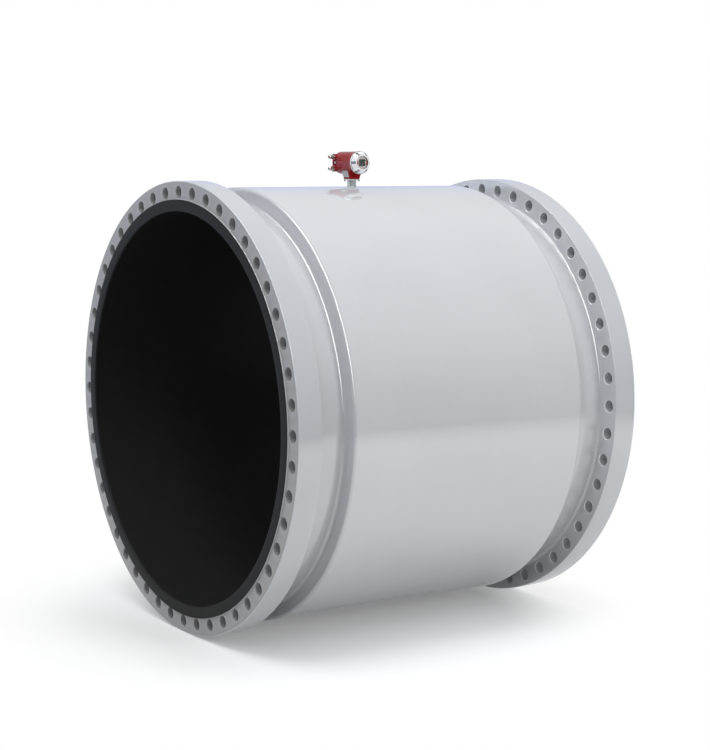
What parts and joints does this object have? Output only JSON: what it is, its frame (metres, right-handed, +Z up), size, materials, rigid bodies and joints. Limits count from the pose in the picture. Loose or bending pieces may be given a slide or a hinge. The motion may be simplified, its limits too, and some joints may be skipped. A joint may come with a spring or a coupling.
{
  "type": "electromagnetic flow meter",
  "caption": "Large flanged electromagnetic flow meter: rubber-lined tube in a round coil housing, with a red signal converter and its display on a short stem.",
  "frame": {"origin": "centre of the bore at mid-length", "axes": "+X runs with the flow along the bore, +Z points up to the converter, and the converter's display faces -Y"},
  "size_m": [2.076, 2.345, 2.4996],
  "materials": {
    "grey_paint": "semi-gloss paint",
    "plate_paint": "semi-gloss paint",
    "liner_rubber": "smooth hard rubber",
    "red_paint": "glossy paint",
    "silver_paint": "silver paint on cast aluminium",
    "window": "clear",
    "seal_rubber": "smooth",
    "nickel": "nickel plate on brass",
    "black_plastic": "moulded",
    "dark_steel": "blackened",
    "stainless": "bright",
    "plate_metal": "brushed",
    "bush_plastic": "turned",
    "magnet_steel": "oiled sheet",
    "winding": "varnished copper wire",
    "brass": "tinned",
    "lead_sheath": "extruded",
    "board": "solder mask",
    "display_face": "printed foil",
    "display_red": "printed foil",
    "screen": "dark, unlit"
  },
  "bodies": {
    "sensor": {"coil_clamp_studs": "stainless", "coil_clamps": "stainless", "coil_leads": "lead_sheath", "converter_housing": "red_paint", "display_bezel": "display_face", "display_board": "board", "display_screen": "screen", "display_side_fields": "display_red", "earth_clamp": "stainless", "earth_screw": "stainless", "electrode_bushes": "bush_plastic", "electrode_nuts": "stainless", "electrode_springs": "dark_steel", "electrode_tags": "brass", "electrode_washers": "stainless", "electronics_frame": "black_plastic", "front_return_yoke": "magnet_steel", "gland_bodies": "nickel", "gland_nuts": "nickel", "gland_plugs": "black_plastic", "gland_seals": "seal_rubber", "housing_shell": "grey_paint", "inlet_end_plate": "grey_paint", "inlet_flange": "grey_paint", "liner": "liner_rubber", "lower_field_coil": "winding", "lower_pole_piece": "magnet_steel", "measuring_electrodes": "stainless", "measuring_tube": "grey_paint", "nameplate": "plate_metal", "nameplate_rivets": "stainless", "outlet_end_plate": "grey_paint", "outlet_flange": "grey_paint", "partition_feedthrough": "black_plastic", "power_board": "board", "rear_return_yoke": "magnet_steel", "signal_board": "board", "signal_leads": "lead_sheath", "stem_bolts": "dark_steel", "stem_gasket": "seal_rubber", "stem_plate": "plate_paint", "stem_tube": "grey_paint", "terminal_block": "black_plastic", "terminal_screws": "stainless", "upper_field_coil": "winding", "upper_pole_piece": "magnet_steel"},
    "front_seal": {"front_cover_seal": "seal_rubber"},
    "front_cover": {"front_cover": "silver_paint", "window_gasket": "seal_rubber", "window_glass": "window", "window_ring": "dark_steel"},
    "rear_seal": {"rear_cover_seal": "seal_rubber"},
    "rear_cover": {"rear_cover": "silver_paint"}
  },
  "joints": [
    {"name": "front_cover_travel", "type": "slide", "parent": "sensor", "child": "front_seal", "axis": [0, -1, 0], "range_m": [0, 0.01]},
    {"name": "front_cover_turn", "type": "hinge", "parent": "front_seal", "child": "front_cover", "pos_m": [0.0225, 0, 1.2646], "axis": [0, -1, 0], "range_deg": [0, 1800]},
    {"name": "rear_cover_travel", "type": "slide", "parent": "sensor", "child": "rear_seal", "axis": [0, 1, 0], "range_m": [0, 0.008]},
    {"name": "rear_cover_turn", "type": "hinge", "parent": "rear_seal", "child": "rear_cover", "pos_m": [0.0225, 0, 1.2646], "axis": [0, 1, 0], "range_deg": [0, 1440]}
  ],
  "couplings": [
    {"joint": "front_cover_travel", "follows": "front_cover_turn", "m_per_rad": 0.0003183},
    {"joint": "rear_cover_travel", "follows": "rear_cover_turn", "m_per_rad": 0.0003183}
  ]
}
